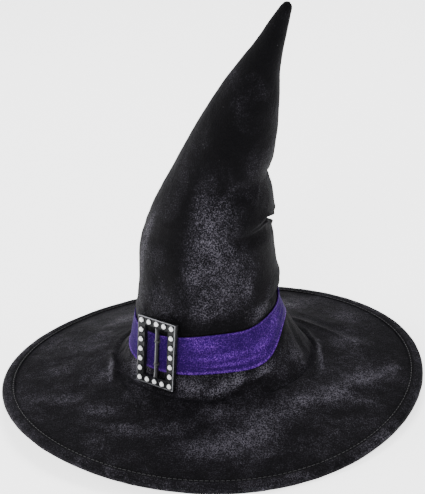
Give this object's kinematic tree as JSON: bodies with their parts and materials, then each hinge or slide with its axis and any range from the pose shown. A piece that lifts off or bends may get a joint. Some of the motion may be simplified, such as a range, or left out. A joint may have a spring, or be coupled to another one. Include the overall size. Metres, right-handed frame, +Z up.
{
  "type": "witch hat",
  "caption": "Pointed black velvet witch hat with a leaning tucked cone, a wide wired brim, a purple ribbon band and a rectangular stone-set buckle.",
  "frame": {"origin": "middle of the brim, at the level of the brim's lowest point", "axes": "+Z up through the crown; +X towards the side that the cone leans to, where its tucks are; -Y towards the front, with the buckle at the front left"},
  "size_m": [0.4, 0.4, 0.3739],
  "materials": {
    "black_velvet": "crushed black velvet with a soft grey sheen",
    "interfacing": "matt non-woven interfacing",
    "black_lining": "smooth woven lining",
    "fibre_wadding": "loose polyester fibre",
    "brim_foam": "matt laminated foam",
    "steel_wire": "drawn steel wire",
    "brass_crimp": "plain brass",
    "black_thread": "polyester sewing thread",
    "sweatband_ribbon": "ribbed grosgrain ribbon",
    "white_satin": "blank satin tape",
    "purple_velvet": "purple velvet ribbon with a satin selvedge",
    "buckle_black": "glossy black moulding",
    "rhinestone": "faceted clear acrylic with a silvered back"
  },
  "bodies": {
    "hat": {"crown_velvet_lower": "black_velvet", "crown_interfacing_lower": "interfacing", "crown_lining_lower": "black_lining", "brim_top_velvet": "black_velvet", "brim_foam": "brim_foam", "brim_underside_velvet": "black_velvet", "brim_wire": "steel_wire", "brim_wire_ferrule": "brass_crimp", "brim_edge_binding": "black_velvet", "brim_topstitch": "black_thread", "sweatband": "sweatband_ribbon", "care_label": "white_satin", "hat_band": "purple_velvet", "band_lap": "purple_velvet", "lower_tuck_thread": "black_thread", "buckle_tack_thread": "black_thread"},
    "cone_middle": {"crown_velvet_middle": "black_velvet", "crown_interfacing_middle": "interfacing", "crown_lining_middle": "black_lining", "upper_tuck_thread": "black_thread"},
    "cone_tip": {"crown_velvet_tip": "black_velvet", "crown_interfacing_tip": "interfacing", "crown_lining_tip": "black_lining", "tip_wadding": "fibre_wadding"},
    "buckle": {"buckle_frame": "buckle_black", "buckle_bar": "buckle_black", "rhinestone_01": "rhinestone", "rhinestone_02": "rhinestone", "rhinestone_03": "rhinestone", "rhinestone_04": "rhinestone", "rhinestone_05": "rhinestone", "rhinestone_06": "rhinestone", "rhinestone_07": "rhinestone", "rhinestone_08": "rhinestone", "rhinestone_09": "rhinestone", "rhinestone_10": "rhinestone", "rhinestone_11": "rhinestone", "rhinestone_12": "rhinestone", "rhinestone_13": "rhinestone", "rhinestone_14": "rhinestone", "rhinestone_15": "rhinestone", "rhinestone_16": "rhinestone", "rhinestone_17": "rhinestone", "rhinestone_18": "rhinestone", "rhinestone_19": "rhinestone", "rhinestone_20": "rhinestone"}
  },
  "joints": [
    {"name": "cone_bend", "type": "hinge", "parent": "hat", "child": "cone_middle", "pos_m": [0.0635, 0, 0.17175], "axis": [0, 1, 0], "range_deg": [0, 40]},
    {"name": "tip_bend", "type": "hinge", "parent": "cone_middle", "child": "cone_tip", "pos_m": [0.0645, 0, 0.21775], "axis": [0, 1, 0], "range_deg": [0, 45]},
    {"name": "buckle_rock", "type": "hinge", "parent": "hat", "child": "buckle", "pos_m": [-0.04887, -0.05824, 0.06914], "axis": [0.095, 0.1132, 0.989], "range_deg": [-3, 3]}
  ]
}
